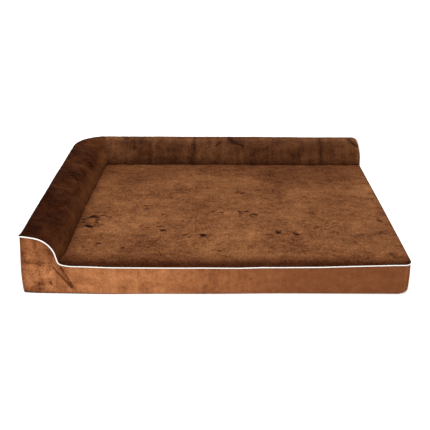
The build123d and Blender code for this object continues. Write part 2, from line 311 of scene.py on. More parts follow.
# ---------------------------------------------------------------- where the pile is marked, with some painted shade
# Each spot is two centre coordinates, two radii and a strength. The front's spots and creases
# go by distance from the left wall and height, the sleeping panel's and the side bolster's by
# x and y from the bed's middle, and the back bolster's by x and height.
FRONT_LIGHTS = [
    (0.030, 0.150, 0.015, 0.010, 0.25),
    (0.040, 0.130, 0.020, 0.010, 0.30),
    (0.025, 0.125, 0.010, 0.015, 0.34),
    (0.085, 0.050, 0.010, 0.015, 0.12),
    (0.055, 0.060, 0.030, 0.015, 0.12),
]
FRONT_DARKS = [
    (0.075, 0.035, 0.005, 0.010, 0.40),
    (0.080, 0.120, 0.015, 0.015, 0.22),
    (0.040, 0.100, 0.045, 0.007, 0.34),
    (0.005, 0.130, 0.010, 0.030, 0.28),
    (0.095, 0.095, 0.015, 0.010, 0.24),
    (0.030, 0.010, 0.050, 0.010, 0.25),
]
SLEEP_SHADES = [
    (0.275, 0.200, 0.150, 0.110, 0.20),
    (-0.290, 0.120, 0.080, 0.090, 0.12),
    (0.070, -0.130, 0.070, 0.055, 0.10),
    (-0.340, -0.340, 0.080, 0.040, 0.16),
    # painted shade in the front-left corner beside the side bolster's foot
    (-0.425, -0.420, 0.040, 0.030, 0.30),
    (-0.360, -0.220, 0.080, 0.090, -0.20),
    (0.050, -0.240, 0.160, 0.050, -0.08),
]
SLEEP_MARKS = [
    (0.35, 0.05, 0.05, 0.02, 0.35),
    (0.07, -0.13, 0.06, 0.04, 0.35),
    (-0.29, 0.11, 0.07, 0.08, 0.25),
    (-0.10, 0.22, 0.04, 0.03, 0.35),
]
SIDE_LIGHTS = [
    (-0.47, -0.21, 0.015, 0.015, 0.90),
    (-0.53, -0.21, 0.010, 0.020, 0.40),
    (-0.53, -0.29, 0.015, 0.015, 0.25),
    (-0.48, 0.00, 0.015, 0.020, 0.70),
    (-0.48, -0.40, 0.015, 0.015, 0.50),
    (-0.51, -0.11, 0.030, 0.060, 0.22),
    (-0.54, 0.05, 0.015, 0.030, 0.20),
    (-0.50, 0.13, 0.030, 0.050, 0.25),
]
BACK_DARKS = [
    (-0.09, 0.15, 0.006, 0.050, 0.30),
    (0.40, 0.15, 0.010, 0.050, 0.35),
    (0.07, 0.18, 0.040, 0.012, 0.40),
    (-0.20, 0.125, 0.060, 0.015, 0.20),
    (0.25, 0.15, 0.110, 0.030, 0.14),
]
BACK_LIGHTS = [
    (-0.40, 0.16, 0.045, 0.030, 0.32),
    (-0.25, 0.16, 0.010, 0.030, 0.20),
    (-0.12, 0.15, 0.010, 0.040, 0.25),
    (-0.07, 0.155, 0.025, 0.030, 0.28),
    (0.18, 0.17, 0.050, 0.015, 0.18),
    (-0.33, 0.135, 0.015, 0.030, 0.16),
    (0.30, 0.17, 0.020, 0.010, 0.15),
    (0.50, 0.16, 0.030, 0.020, 0.20),
]
# Creases pressed into the pile: strength, then the points each one runs through.
FRONT_STROKES = [
    (1.00, [(0.110, 0.085), (0.130, 0.045), (0.145, 0.015)]),
    (1.05, [(0.090, 0.085), (0.115, 0.050), (0.135, 0.020)]),
    (1.00, [(0.075, 0.040), (0.080, 0.030)]),
    (0.95, [(0.330, 0.085), (0.330, 0.060)]),
    (0.92, [(0.010, 0.100), (0.085, 0.100)]),
]
BACK_STROKES = [
    (1.05, [(0.04, 0.180), (0.10, 0.165)]),
    (0.95, [(-0.01, 0.165), (0.01, 0.175)]),
    (1.00, [(0.40, 0.180), (0.40, 0.135)]),
    (1.05, [(0.51, 0.180), (0.54, 0.165)]),
    (0.95, [(-0.09, 0.180), (-0.09, 0.155)]),
]
# Where the sleeping panel is most trodden: a clump's middle, how far it reaches across and
# along the bed, how many creases lie in it and how deep they are.
CLUMPS = [
    (-0.41, -0.19, 0.03, 0.05, 11, 1.02),
    (-0.37, -0.15, 0.02, 0.01, 3, 1.00),
    (-0.39, -0.33, 0.03, 0.02, 3, 0.96),
    (-0.25, -0.08, 0.03, 0.02, 4, 1.00),
    (-0.20, -0.23, 0.04, 0.02, 6, 0.98),
    (-0.26, -0.36, 0.03, 0.02, 3, 0.96),
    (-0.08, -0.27, 0.04, 0.03, 6, 0.97),
    (-0.09, -0.15, 0.03, 0.03, 3, 0.94),
    (0.08, 0.05, 0.02, 0.01, 3, 1.00),
    (0.06, -0.15, 0.08, 0.05, 7, 0.95),
    (0.00, -0.39, 0.03, 0.02, 4, 0.97),
    (0.19, -0.26, 0.07, 0.02, 9, 0.98),
    (0.33, -0.21, 0.04, 0.02, 6, 1.00),
    (0.41, -0.26, 0.03, 0.02, 3, 0.97),
    (0.53, 0.03, 0.01, 0.04, 4, 1.00),
    (0.52, -0.18, 0.01, 0.03, 3, 0.97),
    (0.49, -0.40, 0.02, 0.01, 2, 0.95),
]


def thrown_creases(clumps, seed):
    """Short bent creases about each clump, and the trodden spot that lies under each."""
    draw = np.random.default_rng(seed)
    strokes, marks = [], []
    for x, y, across, along, count, depth in clumps:
        for _ in range(count):
            at = np.array([x, y]) + draw.uniform(-1, 1, 2) * (across, along)
            heading = draw.normal(0.0, 0.6)
            line = [at]
            for _ in range(2):
                run = draw.uniform(0.004, 0.013)
                line.append(line[-1] + run * np.array([math.cos(heading), math.sin(heading)]))
                heading += draw.normal(0.0, 0.7)
            strokes.append((depth + draw.uniform(-0.04, 0.03), line))
            marks.append((*line[1], 0.012, 0.009, draw.uniform(0.3, 0.6)))
    return strokes, marks


SLEEP_STROKES, THROWN_MARKS = thrown_creases(CLUMPS, 7)


# ---------------------------------------------------------------- the wall's borders
FLOOR_GAP = 0.0013
BOTTOM_Z = 0.0007
HEM_ROWS = 6
WALL_ROWS = 24
ZIP_Z = 0.5 * (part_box("zipper_coil_upper")[1].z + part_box("zipper_coil_lower")[0].z)
ZIP_X0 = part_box("zipper_coil_upper")[0].x
ZIP_X1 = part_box("zipper_coil_upper")[1].x
ZIP_HALF = 0.0075


def corner_weight(points, x, y, reach):
    """One at a corner of the plan, falling to nothing a reach away."""
    return smooth(reach, 0.0, np.hypot(points[:, 0] - x, points[:, 1] - y))


def wall_offset(points, outward, share, heights):
    """How far the cloth stands out from the wall's plan: flared at the foot, pinched at the seams."""
    left = smooth(0.3, 1.0, -outward[:, 0])
    right = smooth(0.3, 1.0, outward[:, 0])
    back = smooth(0.3, 1.0, outward[:, 1])
    front = smooth(0.3, 1.0, -outward[:, 1])
    flare = 0.0078 * left + 0.0012 * right + 0.0015 * back + 0.0012 * front
    belly = 0.0016 * left + 0.0018 * right + 0.0012 * back + 0.0018 * front
    out = flare * smooth(1.0, 0.1, share) + belly * np.sin(math.pi * np.clip(share, 0, 1)) ** 0.7
    out -= 0.0016 * smooth(0.93, 1.0, share)
    flat = back * smooth(0.060, 0.045, heights)
    return out * (1 - flat) - 0.0004 * flat


def hem_shape(points):
    """How far each column's hem is drawn in, how high it curls, and how far it lifts off the floor."""
    near_fl = corner_weight(points, -HALF_X, -HALF_Y, 0.050)
    near_fr = corner_weight(points, HALF_X, -HALF_Y, 0.034)
    on_front = smooth(-HALF_Y + 0.04, -HALF_Y, points[:, 1])
    spread = on_front * np.exp(-(((points[:, 0] + 0.40) / 0.17) ** 2))
    drawn_in = 0.0045 + 0.0075 * near_fr - 0.0052 * spread
    curl = 0.0040 + 0.0100 * near_fr - 0.0012 * spread
    lift = 0.0016 * near_fl**2
    return drawn_in, curl, lift


def wall_grid(points, outward, low, high, hem):
    """Rows of cloth from the low edge to the high one, with a rounded hem where it starts below."""
    drawn_in, curl, lift = hem_shape(points)
    base = low + (lift if hem else 0)
    start = base + (curl if hem else 0)
    at_start = wall_offset(points, outward, start / high, start)
    rows = []
    for k in range(HEM_ROWS if hem else 0):
        a = math.pi / 2 * k / HEM_ROWS
        grow = at_start - drawn_in * (1 - math.sin(a))
        height = base + curl * (1 - math.cos(a))
        rows.append(np.column_stack([points[:, :2] + outward[:, :2] * grow[:, None], height]))
    for k in range(WALL_ROWS + 1):
        height = start + (high - start) * k / WALL_ROWS
        grow = wall_offset(points, outward, height / high, height)
        rows.append(np.column_stack([points[:, :2] + outward[:, :2] * grow[:, None], height]))
    return np.array(rows)


def foot_crease(grid):
    """The slanting pull crease below the front border's S, pressed in and ridged beside it."""
    start = np.array([-HALF_X + 0.106, 0.088])
    end = np.array([-HALF_X + 0.141, 0.010])
    run = end - start
    length = np.linalg.norm(run)
    across = np.array([-run[1], run[0]]) / length
    flat = grid[:, :, [0, 2]] - start
    t = flat @ run / length**2
    d = flat @ across
    fade = smooth(-0.12, 0.08, t) * smooth(1.12, 0.75, t)
    on_front = smooth(-HALF_Y + 0.012, -HALF_Y + 0.004, grid[:, :, 1])
    press = (0.0034 * bump(d, 0, 0.0055) - 0.0016 * bump(d, -0.013, 0.008)) * fade * on_front
    grid[:, :, 1] += press
    beside = 0.55 * bump(d, 0.012, 0.0035) * smooth(0.85, 0.45, t)
    return (bump(d, 0.0, 0.0048) + beside) * fade * on_front


def add_values(obj, **layers):
    """Point attributes the plush reads: tone, which on some pieces holds painted shade and highlight
    as well as the pile's patches, crush for trodden pile, wear for how mottled it is.
    """
    for name, values in layers.items():
        layer = obj.data.attributes.new(name, "FLOAT", "POINT")
        layer.data.foreach_set("value", np.asarray(values, np.float32).ravel())


def spots(first, second, places):
    """A field of soft spots, each given as centre, two radii and strength."""
    field = np.zeros(np.shape(first))
    for a, b, ra, rb, strength in places:
        field += strength * np.exp(-(((first - a) / ra) ** 2) - ((second - b) / rb) ** 2)
    return field


def stroked(first, second, strokes, reach=0.012):
    """Falls off evenly on either side of each stroke, to be cut to a fine line by the plush."""
    field = np.zeros(np.shape(first))
    for strength, line in strokes:
        for (ax, ay), (bx, by) in zip(line[:-1], line[1:]):
            run = (bx - ax, by - ay)
            t = ((first - ax) * run[0] + (second - ay) * run[1]) / (run[0] ** 2 + run[1] ** 2)
            t = np.clip(t, 0, 1)
            far = np.hypot(first - ax - t * run[0], second - ay - t * run[1])
            field = np.maximum(field, strength - far / reach)
    return field


def wrapped(first, last):
    """Indices of seam columns from one to the other, going round if needed."""
    count = len(SEAM)
    stop = last if last > first else last + count
    return [k % count for k in range(first, stop + 1)]


def nearest_column(x, y):
    return int(np.argmin(np.hypot(SEAM[:, 0] - x, SEAM[:, 1] - y)))


def ripple(grid, size, scale, seed):
    """Slow dents and swells along the wall's outward direction, fading at its edges."""
    rows, columns, _ = grid.shape
    flat = grid.reshape(-1, 3)
    value = wander(flat, scale, seed).reshape(rows, columns)
    fade = np.sin(math.pi * np.linspace(0, 1, rows)) ** 0.5
    return value * fade[:, None] * size


def make_border(name, columns, replaced, low=None, high=None, hem=True, seed=1):
    points, outward = SEAM[columns], OUTWARD[columns]
    low = np.full(len(points), FLOOR_GAP) if low is None else low(points)
    high = points[:, 2] if high is None else high(points)
    grid = wall_grid(points, outward, low, high, hem)
    grid[:, :, :2] += ripple(grid, 0.0012, 9.0, seed)[:, :, None] * outward[None, :, :2]
    crush = np.zeros(grid.shape[:2])
    wear = np.ones(grid.shape[:2])
    line = np.zeros(grid.shape[:2])
    if name == "front_border_cloth":
        line = stroked(grid[:, :, 0] + HALF_X, grid[:, :, 2], FRONT_STROKES, 0.009)
        wear = np.interp(grid[:, :, 0] + HALF_X, [0.08, 0.14, 0.55, 0.75], [1.7, 1.0, 1.0, 0.55])
        # the crease's mask stands for crushed pile and, in the front's tone, for painted crease shade
        crush = foot_crease(grid)
        tone = front_tone_and_painted_light(grid, crush)
    else:
        tone = wall_tone(grid)
    made = sheet_from_grid(name, grid)
    add_values(made, tone=tone, crush=crush, wear=wear, line=line)
    finish_soft(made, replaced, "border_plush", PLUSH["border"])
    return made


def front_tone_and_painted_light(grid, crease):
    x, z = grid[:, :, 0], grid[:, :, 2]
    u = x + HALF_X
    tone = np.interp(
        u,
        [0.0, 0.10, 0.16, 0.40, 0.46, 0.52, 0.70, 0.80, 1.10],
        [0.84, 0.90, 1.0, 0.97, 0.86, 0.71, 0.63, 0.54, 0.475],
    )
    tone = tone * (1.0 - 0.36 * smooth(0.085, 0.125, z) * smooth(0.13, 0.09, u))
    mottle = wander(np.column_stack([x.ravel(), grid[:, :, 1].ravel(), z.ravel()]), 38.0, 51)
    mottle = mottle.reshape(x.shape)
    tone *= 1.0 + 0.28 * mottle * smooth(0.20, 0.08, u)
    tone *= 1.0 + spots(u, z, FRONT_LIGHTS)
    # darker in the pull crease: crushed pile there, and painted crease shade
    tone *= 1.0 - 0.50 * crease
    # painted shade where the front turns round the rounded left corner
    tone *= 1.0 - 0.22 * smooth(0.020, 0.0, u)
    # painted shadow along the floor: the front's left part is darker near its foot
    tone *= 1.0 - 0.20 * smooth(0.014, 0.0, z) * smooth(0.3, 0.0, u)
    # painted highlight, then painted shade just beyond it, on the rounded front-right corner
    tone *= 1.0 + 0.30 * bump(u, 1.094, 0.004)
    tone *= 1.0 - 0.30 * bump(u, 1.103, 0.004)
    tone *= 1.0 - spots(u, z, FRONT_DARKS)
    # painted shadow under the piping: darker within 6 mm below the front seam
    tone *= 1.0 - 0.18 * smooth(0.006, 0.0, front_seam_z(x) - z)
    return tone


def wall_tone(grid):
    return 0.72 + 0.05 * smooth(0.0, 0.15, grid[:, :, 2])


def zip_window(points):
    x = points[:, 0]
    return smooth(ZIP_X0 - 0.006, ZIP_X0 + 0.004, x) * smooth(ZIP_X1 + 0.006, ZIP_X1 - 0.004, x)


def make_borders():
    fl = nearest_column(-HALF_X + 0.3 * CORNER_FL, -HALF_Y + 0.3 * CORNER_FL)
    fr = nearest_column(HALF_X - 0.3 * CORNER_FR, -HALF_Y + 0.3 * CORNER_FR)
    br = nearest_column(HALF_X - CORNER_BR, HALF_Y)
    bl = nearest_column(SPLIT_X, HALF_Y)
    make_border("front_border_cloth", wrapped(fl, fr), ["front_border"], seed=1)
    make_border("right_border_cloth", wrapped(fr, br), ["right_border"], seed=2)
    make_border("left_border_cloth", wrapped(bl, fl), ["left_border"], seed=3)
    back = wrapped(br, bl)
    make_border(
        "back_border_lower_cloth",
        back,
        ["back_border_lower"],
        high=lambda p: ZIP_Z - ZIP_HALF * zip_window(p),
        seed=4,
    )
    make_border(
        "back_border_upper_cloth",
        back,
        ["back_border_upper"],
        low=lambda p: ZIP_Z + ZIP_HALF * zip_window(p),
        hem=False,
        seed=5,
    )


# ---------------------------------------------------------------- the sleep panel
def edge_steps(reach, rounded, step):
    """Distances from a rolled edge: close together on the roll, then about step apart."""
    roll = [rounded * (1 - math.cos(math.pi / 2 * k / 7)) for k in range(7)]
    flat = np.linspace(rounded, reach, max(2, math.ceil((reach - rounded) / step)))
    return np.array(roll + list(flat))


def round_corner(x, y):
    """Moves grid points into the plan's round front-right corner, ring by ring."""
    cx = x - (HALF_X - CORNER_FR)
    cy = (-HALF_Y + CORNER_FR) - y
    inside = (cx > 0) & (cy > 0)
    ring = np.maximum(np.maximum(cx, cy), 1e-9)
    a, b = np.clip(cx / ring, 0, 1), np.clip(cy / ring, 0, 1)
    rx = ring * a * np.sqrt(1 - b * b / 2)
    ry = ring * b * np.sqrt(1 - a * a / 2)
    x = np.where(inside, HALF_X - CORNER_FR + rx, x)
    y = np.where(inside, -HALF_Y + CORNER_FR - ry, y)
    return x, y


def make_sleep_panel():
    crease_x = -HALF_X + S_FOOT_U
    crease_y = HALF_Y - S_FOOT_U
    xs = HALF_X - edge_steps(HALF_X - crease_x, ROLL_R, STEP)[::-1]
    ys = -HALF_Y + edge_steps(crease_y + HALF_Y, ROLL_R, STEP)
    x, y = np.meshgrid(xs, ys)
    from_right, from_front = HALF_X - x, y + HALF_Y
    edge = np.minimum(from_right, from_front)
    angle = np.arccos(np.clip(1 - edge / ROLL_R, 0, 1))
    rise = np.sin(angle) ** 0.9
    px, py = round_corner(x, y)
    seam = np.where(from_front < from_right, front_seam_z(px), right_seam_z(py))
    corner = np.clip(1 - np.hypot(from_right, from_front) / 0.08, 0, 1)
    seam = seam * (1 - corner) + 0.5 * (front_seam_z(px) + right_seam_z(py)) * corner
    into_left, into_back = x - crease_x, crease_y - y
    tuck = SLEEP_TUCK * np.maximum(np.exp(-into_left / 0.012), np.exp(-into_back / 0.010))
    middle = np.sin(math.pi * (x - crease_x) / (HALF_X - crease_x)) ** 0.5
    middle = middle * np.sin(math.pi * (y + HALF_Y) / (crease_y + HALF_Y)) ** 0.5
    flat = np.column_stack([x.ravel(), y.ravel(), np.zeros(x.size)])
    swell = wander(flat, 4.0, 11).reshape(x.shape) * 0.0016
    swell += wander(flat, 13.0, 12).reshape(x.shape) * 0.0007
    fade = smooth(0.0, 0.05, edge) * smooth(0.0, 0.04, np.minimum(into_left, into_back))
    top = SLEEP_Z + CROWN * np.nan_to_num(middle) + swell * fade - tuck
    z = seam + (np.maximum(top, seam) - seam) * rise
    stand = 0.0036 * np.sin(2 * np.clip(angle, 0, math.pi / 2)) ** 1.2
    over_front = stand * (from_front <= from_right + 1e-9)
    over_right = stand * (from_right <= from_front + 1e-9)
    bow = front_bow(px) * smooth(0.060, 0.0, from_front)
    grid = np.stack([px + over_right, py - over_front - bow, z], axis=2)
    made = sheet_from_grid("sleep_panel_cloth", grid)
    tone = sleep_tone_and_painted_shade(grid, from_front, from_right, into_left, into_back)
    crush = np.minimum(spots(x, y, SLEEP_MARKS + THROWN_MARKS), 1.2)
    wear = np.ones(x.shape)
    line = stroked(x, y, SLEEP_STROKES)
    add_values(made, tone=tone, crush=crush, wear=wear, line=line)
    pinned = (edge < 0.004) | (into_left < 0.006) | (into_back < 0.006)
    inflate(made, pinned.ravel(), pressure=0.35, excess=0.012, cap=0.004)
    finish_soft(made, ["sleep_panel"], "sleep_plush", PLUSH["sleep"])
    return made


def sleep_tone_and_painted_shade(grid, from_front, from_right, into_left, into_back):
    x, y = grid[:, :, 0], grid[:, :, 1]
    tone = 1.0 - 0.30 * smooth(0.05, 0.33, y)
    tone *= 1.0 - spots(x, y, SLEEP_SHADES)
    # painted shade on the rolled front edge
    tone *= 1.0 - 0.34 * smooth(0.055, 0.016, from_front)
    tone *= 1.0 - 0.62 * smooth(0.019, 0.003, from_front)
    # painted shade on the rolled right edge
    tone *= 1.0 - 0.45 * smooth(0.012, 0.002, from_right)
    # painted shade in the creases where the panel meets the side and back bolsters
    tone *= 1.0 - 0.48 * np.exp(-into_left / 0.026)
    tone *= 1.0 - 0.25 * np.exp(-into_back / 0.010)
    return tone


# ---------------------------------------------------------------- the bolsters
SECTION_POINTS = 44
FOOT_Z = 0.1010
INNER_TURN_R = 0.006
BACK_SWELL = 0.0020
SWELL_AT = [0.0, 0.05, 0.16, 0.40, 0.50, 0.60, 0.80]
CORNER_RISE = 0.0026
SIDE_SWELL = [0.0, 0.0085, 0.0075, 0.0065, 0.0100, 0.0140, 0.0150]


def clip_section(line, foot_z):
    """The section down to its foot, evenly spaced."""
    z = line[:, 1]
    below = z < foot_z
    last = int(np.argmax(below)) if np.any(below) else len(z) - 1
    a, b = line[last - 1], line[last]
    t = np.clip((a[1] - foot_z) / max(a[1] - b[1], 1e-9), 0, 1)
    cut = np.vstack([line[:last], a + (b - a) * t])
    along = np.concatenate([[0], np.cumsum(np.linalg.norm(np.diff(cut, axis=0), axis=1))])
    at = np.linspace(0, along[-1], SECTION_POINTS)
    return np.stack([np.interp(at, along, cut[:, k]) for k in range(2)], axis=1)


def full_section(swell, foot_z=FOOT_Z):
    """The stuffed bolster's section, as u inward from the wall and height."""
    foot = S_FOOT_U + 0.0010 + max(swell - 0.006, 0.0)
    points = [
        (0.0, PIPE_Z),
        (0.0, CREST_Z + 0.0008),
        (SHOULDER[0] + 0.85 * swell, SHOULDER[1] + 0.001),
        (S_FOOT_U + 0.0015 + swell, 0.1050),
        (foot, FOOT_Z - 0.0030),
    ]
    return clip_section(rounded_path(points, [0.009, SHOULDER_R, 0.006], 0.002), foot_z)


def side_section(distance):
    """The side bolster's section that far from its front end, where it meets the S edge."""
    roll = math.sin(math.acos(1 - min(distance, ROLL_R) / ROLL_R)) ** 0.9
    foot_z = front_seam_z(-HALF_X + 0.12) + 0.0006
    foot_z += (FOOT_Z - foot_z) * roll
    edge = end_edge(0, 0, 0.0, 0.2)
    edge[:, 1] += front_seam_lift(edge[:, 0] - HALF_X)
    end = clip_section(edge, foot_z)
    weight = float(smooth(0.0, 0.045, np.array([distance]))[0])
    swell = float(np.interp(distance, SWELL_AT, SIDE_SWELL))
    return end * (1 - weight) + full_section(swell) * weight


def turn_rows(left, back):
    """Radius and centre, row by row, of the turn between the side's and the back's sections."""
    u = 0.5 * (left[:, 0] + back[:, 0])
    radius = np.maximum(TURN_R - u, INNER_TURN_R)
    return radius, -HALF_X + left[:, 0] + radius, HALF_Y - back[:, 0] - radius


def side_columns():
    """The side bolster's grid: along the left wall, then round the back-left corner."""
    stop = HALF_Y - TURN_R - 0.010
    run = np.linspace(-HALF_Y + 0.0004, stop, math.ceil((stop + HALF_Y) / STEP) + 1)
    columns, distance = [], []
    for y in run:
        section = side_section(y + HALF_Y)
        x = -HALF_X + section[:, 0]
        columns.append(np.column_stack([x, np.full(len(x), y), section[:, 1]]))
        distance.append(y + HALF_Y)
    left, back = side_section(distance[-1]), full_section(BACK_SWELL)
    radius, cx, cy = turn_rows(left, back)
    parts = math.ceil(math.pi / 2 * TURN_R / STEP)
    for k in range(parts + 1):
        a = math.pi / 2 * k / parts
        z = left[:, 1] + (back[:, 1] - left[:, 1]) * k / parts
        columns.append(
            np.column_stack([cx - radius * math.cos(a), cy + radius * math.sin(a), z])
        )
        distance.append(stop + HALF_Y + 0.010 + TURN_R * a)
    return np.array(columns), np.array(distance)


def back_start():
    """Where the back bolster's rows begin: on the seam at the end of the turn."""
    left = side_section(HALF_Y - TURN_R - 0.010 + HALF_Y)
    _, cx, _ = turn_rows(left, full_section(BACK_SWELL))
    return cx


def puff(grid, scale, size, seed, fade):
    """Moves a grid along its own normals by slow noise."""
    along = np.gradient(grid, axis=0)
    across = np.gradient(grid, axis=1)
    normal = np.cross(along, across)
    normal /= np.maximum(np.linalg.norm(normal, axis=2), 1e-12)[:, :, None]
    value = wander(grid.reshape(-1, 3), scale, seed).reshape(grid.shape[:2])
    return grid + normal * (value * size * fade)[:, :, None]


def bolster_fade(shape):
    t = np.linspace(0, 1, shape[1])[None, :]
    return (np.sin(math.pi * t) ** 0.5) * np.ones(shape)


def build_side_bolster():
    grid, distance = side_columns()
    shape = grid.shape[:2]
    from_join = distance[-1] - distance
    ends = smooth(0.0, 0.03, distance)[:, None] * smooth(0.0, 0.02, from_join)[:, None]
    grid = puff(grid, 7.0, 0.0022, 21, bolster_fade(shape) * ends)
    grid = puff(grid, 22.0, 0.0008, 22, bolster_fade(shape) * ends)
    grid[:, :, 2] -= 0.0010 * bump(from_join, 0, 0.006)[:, None] * bolster_fade(shape)
    grid[:, :, 2] += CORNER_RISE * smooth(0.20, 0.02, from_join)[:, None] * bolster_fade(shape)
    made = sheet_from_grid("side_bolster_cloth", grid, flip=True)
    wear = 1.0 - 0.55 * smooth(0.172, 0.140, grid[:, :, 2])
    add_values(made, tone=side_tone_and_painted_shade(grid), crush=np.zeros(shape), wear=wear)
    pinned = np.zeros(shape, bool)
    pinned[:2] = pinned[-1:] = True
    pinned[:, :2] = pinned[:, -3:] = True
    pinned[from_join < 0.16, SECTION_POINTS // 2 :] = True
    inflate(made, pinned.ravel(), pressure=0.5, excess=0.010, cap=0.003)
    finish_soft(made, ["side_bolster_cover"], "bolster_plush", PLUSH["side"])


def side_tone_and_painted_shade(grid):
    x, y, z = grid[:, :, 0], grid[:, :, 1], grid[:, :, 2]
    tone = 1.0 - 0.58 * smooth(0.128, 0.166, z)
    tone *= 1.0 - 0.10 * smooth(0.050, 0.012, x + HALF_X)
    # painted shade low on the inner face, along the crease with the sleeping panel
    tone *= 1.0 - 0.25 * smooth(0.134, 0.103, z)
    tone *= 1.0 - 0.16 * smooth(-0.12, -0.24, y) * smooth(0.150, 0.172, z)
    tone *= 1.0 + 0.35 * smooth(-0.30, 0.0, y)
    tone *= 1.0 + 0.34 * smooth(0.22, 0.34, y)
    tone *= 1.0 + spots(x, y, SIDE_LIGHTS)
    return tone


def build_back_bolster():
    section = full_section(BACK_SWELL)
    v, z = section[:, 0], section[:, 1]
    tangent = np.gradient(section, axis=0)
    tangent /= np.linalg.norm(tangent, axis=1)[:, None]
    outward = np.stack([-tangent[:, 1], tangent[:, 0]], axis=1)
    inside = np.clip(CORNER_BR - v, 0, CORNER_BR)
    inset = CORNER_BR - np.sqrt(np.maximum(CORNER_BR**2 - inside**2, 0))
    end_x = HALF_X - inset - 0.0030 - 0.0035 * smooth(0.120, 0.182, z)
    start_x = back_start()
    wrap = 0.0095
    count = math.ceil((HALF_X - SPLIT_X) / STEP)
    columns = []
    for k in range(count + 1):
        x = start_x + (end_x - wrap - start_x) * k / count
        columns.append(np.column_stack([x, HALF_Y - v, z]))
    for k in range(1, 8):
        a = math.pi / 2 * k / 7
        x = end_x - wrap + wrap * math.sin(a)
        back = wrap * (1 - math.cos(a))
        columns.append(
            np.column_stack([x, HALF_Y - v + outward[:, 0] * back, z - outward[:, 1] * back])
        )
    grid = np.array(columns)
    shape = grid.shape[:2]
    distance = grid[:, :, 0] - start_x
    ends = smooth(0.0, 0.02, distance) * smooth(0.0, 0.03, HALF_X - grid[:, :, 0])
    grid = puff(grid, 7.0, -0.0012, 31, bolster_fade(shape) * ends)
    grid = puff(grid, 22.0, -0.0004, 32, bolster_fade(shape) * ends)
    grid[:, :, 2] -= 0.0010 * bump(distance, 0, 0.006) * bolster_fade(shape)
    stuffed = np.exp(-((distance / 0.15) ** 2))
    grid[:, :, 2] += CORNER_RISE * stuffed * bolster_fade(shape)
    made = sheet_from_grid("back_bolster_cloth", grid, flip=True)
    line = stroked(grid[:, :, 0], grid[:, :, 2], BACK_STROKES, 0.010)
    add_values(made, tone=back_tone_and_painted_light(grid), crush=np.zeros(shape), wear=np.ones(shape), line=line)
    pinned = np.zeros(shape, bool)
    pinned[:1] = pinned[-3:] = True
    pinned[:, :3] = pinned[:, -3:] = True
    inflate(made, pinned.ravel(), pressure=0.5, excess=0.010, cap=0.0015)
    finish_soft(made, ["back_bolster_cover"], "bolster_plush", PLUSH["back"])


def back_tone_and_painted_light(grid):
    x, z = grid[:, :, 0], grid[:, :, 2]
    v = HALF_Y - grid[:, :, 1]
    # painted highlight on the rounded top
    tone = 1.0 + 0.22 * smooth(0.050, 0.030, v)
    # painted shade on the face that looks forward
    tone *= 1.0 - 0.22 * smooth(0.034, 0.052, v) * smooth(0.105, 0.085, v)
    # painted shade low on the bolster, along the crease with the sleeping panel
    tone *= 1.0 - 0.50 * smooth(0.136, 0.101, z)
    tone *= 1.0 - spots(x, z, BACK_DARKS)
    tone *= 1.0 + spots(x, z, BACK_LIGHTS)
    # painted highlight on the rim round the right end
    tone *= 1.0 + 0.40 * smooth(0.530, 0.545, x)
    tone *= 1.0 - 0.20 * smooth(-0.42, -0.445, x)
    return tone


# ---------------------------------------------------------------- cloth simulation
def inflate(obj, pinned, pressure, excess, cap, frames=18):
    """Lets the cloth between its sewn edges swell and buckle, then keeps a capped share of it."""
    rest = points_of(obj)
    held = obj.vertex_groups.new(name="held")
    held.add([int(k) for k in np.flatnonzero(pinned)], 1.0, "REPLACE")
    cloth = obj.modifiers.new("swell", "CLOTH")
    settings = cloth.settings
    settings.vertex_group_mass = "held"
    settings.quality = 4
    settings.mass = 0.25
    settings.tension_stiffness = 30
    settings.compression_stiffness = 30
    settings.shear_stiffness = 12
    settings.bending_stiffness = 1.5
    settings.shrink_min = -excess
    settings.use_pressure = True
    settings.uniform_pressure_force = pressure
    settings.effector_weights.gravity = 0
    cloth.collision_settings.use_collision = False
    cloth.point_cache.frame_start = 1
    cloth.point_cache.frame_end = frames
    for k in range(1, frames + 1):
        bpy.context.scene.frame_set(k)
    shaped = obj.evaluated_get(bpy.context.evaluated_depsgraph_get()).to_mesh()
    moved = np.zeros(len(shaped.vertices) * 3, np.float32)
    shaped.vertices.foreach_get("co", moved)
    moved = moved.reshape(-1, 3).astype(float)
    obj.modifiers.remove(cloth)
    bpy.context.scene.frame_set(1)
    step = moved - rest
    far = np.linalg.norm(step, axis=1)
    kept = cap * np.tanh(far / cap)
    set_points(obj, rest + step * (kept / np.maximum(far, 1e-9))[:, None])


